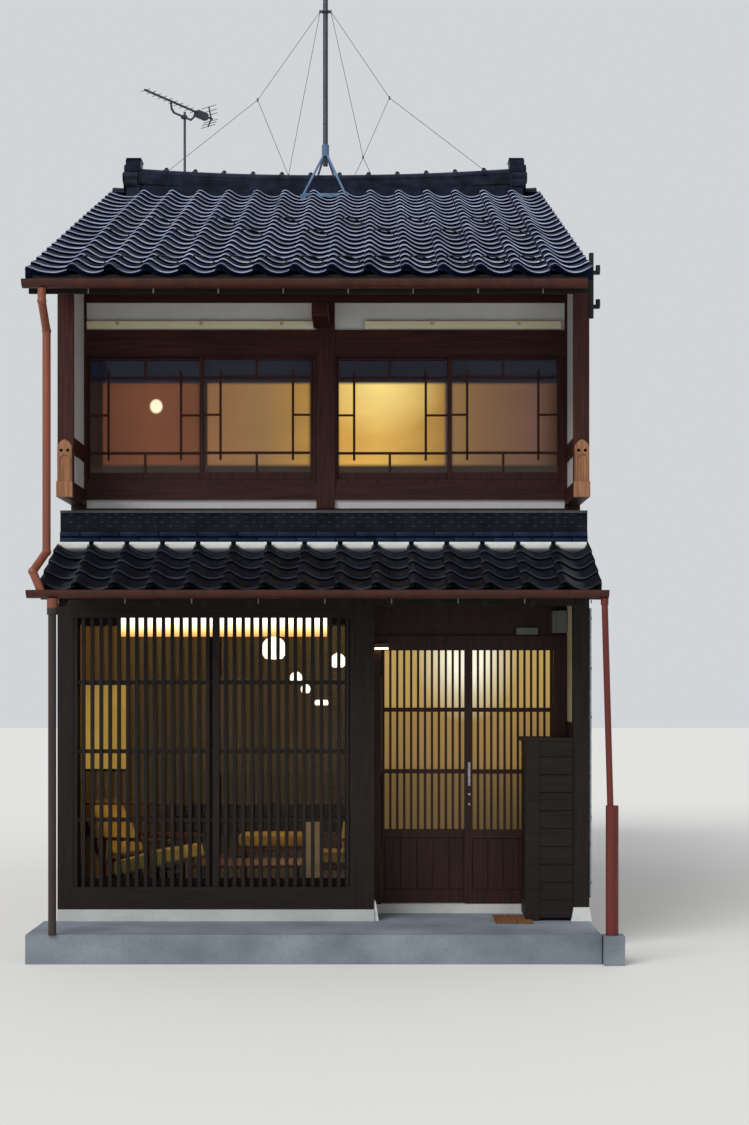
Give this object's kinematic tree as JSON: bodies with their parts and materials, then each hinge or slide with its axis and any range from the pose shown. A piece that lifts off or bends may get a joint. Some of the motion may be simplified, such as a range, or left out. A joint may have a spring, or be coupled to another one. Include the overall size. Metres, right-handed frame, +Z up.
{
  "type": "machiya townhouse",
  "caption": "Narrow two-storey timber townhouse of a row, with a lattice front, sliding entrance doors, a tiled pent roof and a tiled gable roof with a roof mast.",
  "frame": {"origin": "on the ground under the middle of the ridge", "axes": "+Z up, the street front faces -Y, +X to the right as seen from the street"},
  "size_m": [4.338, 8.955, 8.6502],
  "materials": {
    "concrete": "trowelled concrete, blue-grey, dusty",
    "granite": "sawn granite, matte",
    "white_stone": "dressed white granite, matte",
    "dark_wood": "dark stained cedar, matte",
    "red_wood": "cedar stained with red iron oxide, worn satin",
    "tan_wood": "weathered cedar, matte",
    "floor_wood": "plain pine boards, waxed",
    "floor_mortar": "trowelled mortar, matte",
    "window_glass": "clear float glass",
    "lit_glass": "frosted glass lit from behind",
    "plaster": "trowelled lime plaster, matte",
    "mortar": "floated mortar render, matte",
    "roof_tile": "glazed blue-black clay pantile",
    "flashing": "painted sheet steel, weathered",
    "copper": "copper brown sheet, satin",
    "red_pipe": "red-brown paint, satin",
    "screen_paper": "lit paper, matte",
    "lamp_shade": "white moulded shade",
    "grey_box": "grey moulded plastic",
    "blue_steel": "blue-grey paint over steel, weathered",
    "galvanised": "galvanised steel, dull"
  },
  "bodies": {
    "house": {"foundation": "concrete", "pipe_stone": "concrete", "granite_sill": "granite", "door_threshold": "granite", "post_stones": "white_stone", "ground_posts": "dark_wood", "sill_beam": "dark_wood", "head_beam": "dark_wood", "front_lattice": "dark_wood", "front_window_frame": "dark_wood", "floor_beams": "dark_wood", "porch_ceiling": "dark_wood", "porch_trim": "dark_wood", "porch_screen": "dark_wood", "pent_rafters": "dark_wood", "eave_rafters": "dark_wood", "eave_boards": "dark_wood", "door_surround": "red_wood", "upper_posts": "red_wood", "upper_beams": "red_wood", "upper_window_frames": "red_wood", "upper_sashes": "red_wood", "sleeve_frames": "red_wood", "back_window_frames": "red_wood", "sleeve_brackets": "tan_wood", "upper_floor": "floor_wood", "ground_floor": "floor_mortar", "front_window_glass": "window_glass", "back_window_glass": "window_glass", "upper_glass": "window_glass", "upper_plaster": "plaster", "sleeve_plaster": "plaster", "back_wall_ground": "plaster", "back_wall_upper": "plaster", "porch_walls": "plaster", "party_wall_left": "mortar", "party_wall_right": "mortar", "pent_roof": "roof_tile", "pent_ridge": "roof_tile", "roof_front": "roof_tile", "roof_back": "roof_tile", "ridge": "roof_tile", "ridge_ends": "roof_tile", "pent_flashing": "flashing", "pent_gutter": "copper", "upper_gutters": "copper", "downpipe_left": "copper", "downpipe_right": "red_pipe", "upper_screens": "screen_paper", "porch_lamp": "lamp_shade", "meter_box": "grey_box", "mast_stand": "blue_steel", "mast": "galvanised", "mast_stays": "galvanised", "tv_aerial": "galvanised"},
    "left_leaf": {"door_leaf_left": "red_wood", "door_glass_left": "lit_glass"},
    "right_leaf": {"door_leaf_right": "red_wood", "door_glass_right": "lit_glass"}
  },
  "joints": [
    {"name": "left_door_slide", "type": "slide", "parent": "house", "child": "left_leaf", "axis": [1, 0, 0], "range_m": [0, 0.64]},
    {"name": "right_door_slide", "type": "slide", "parent": "house", "child": "right_leaf", "axis": [-1, 0, 0], "range_m": [0, 0.64]}
  ]
}
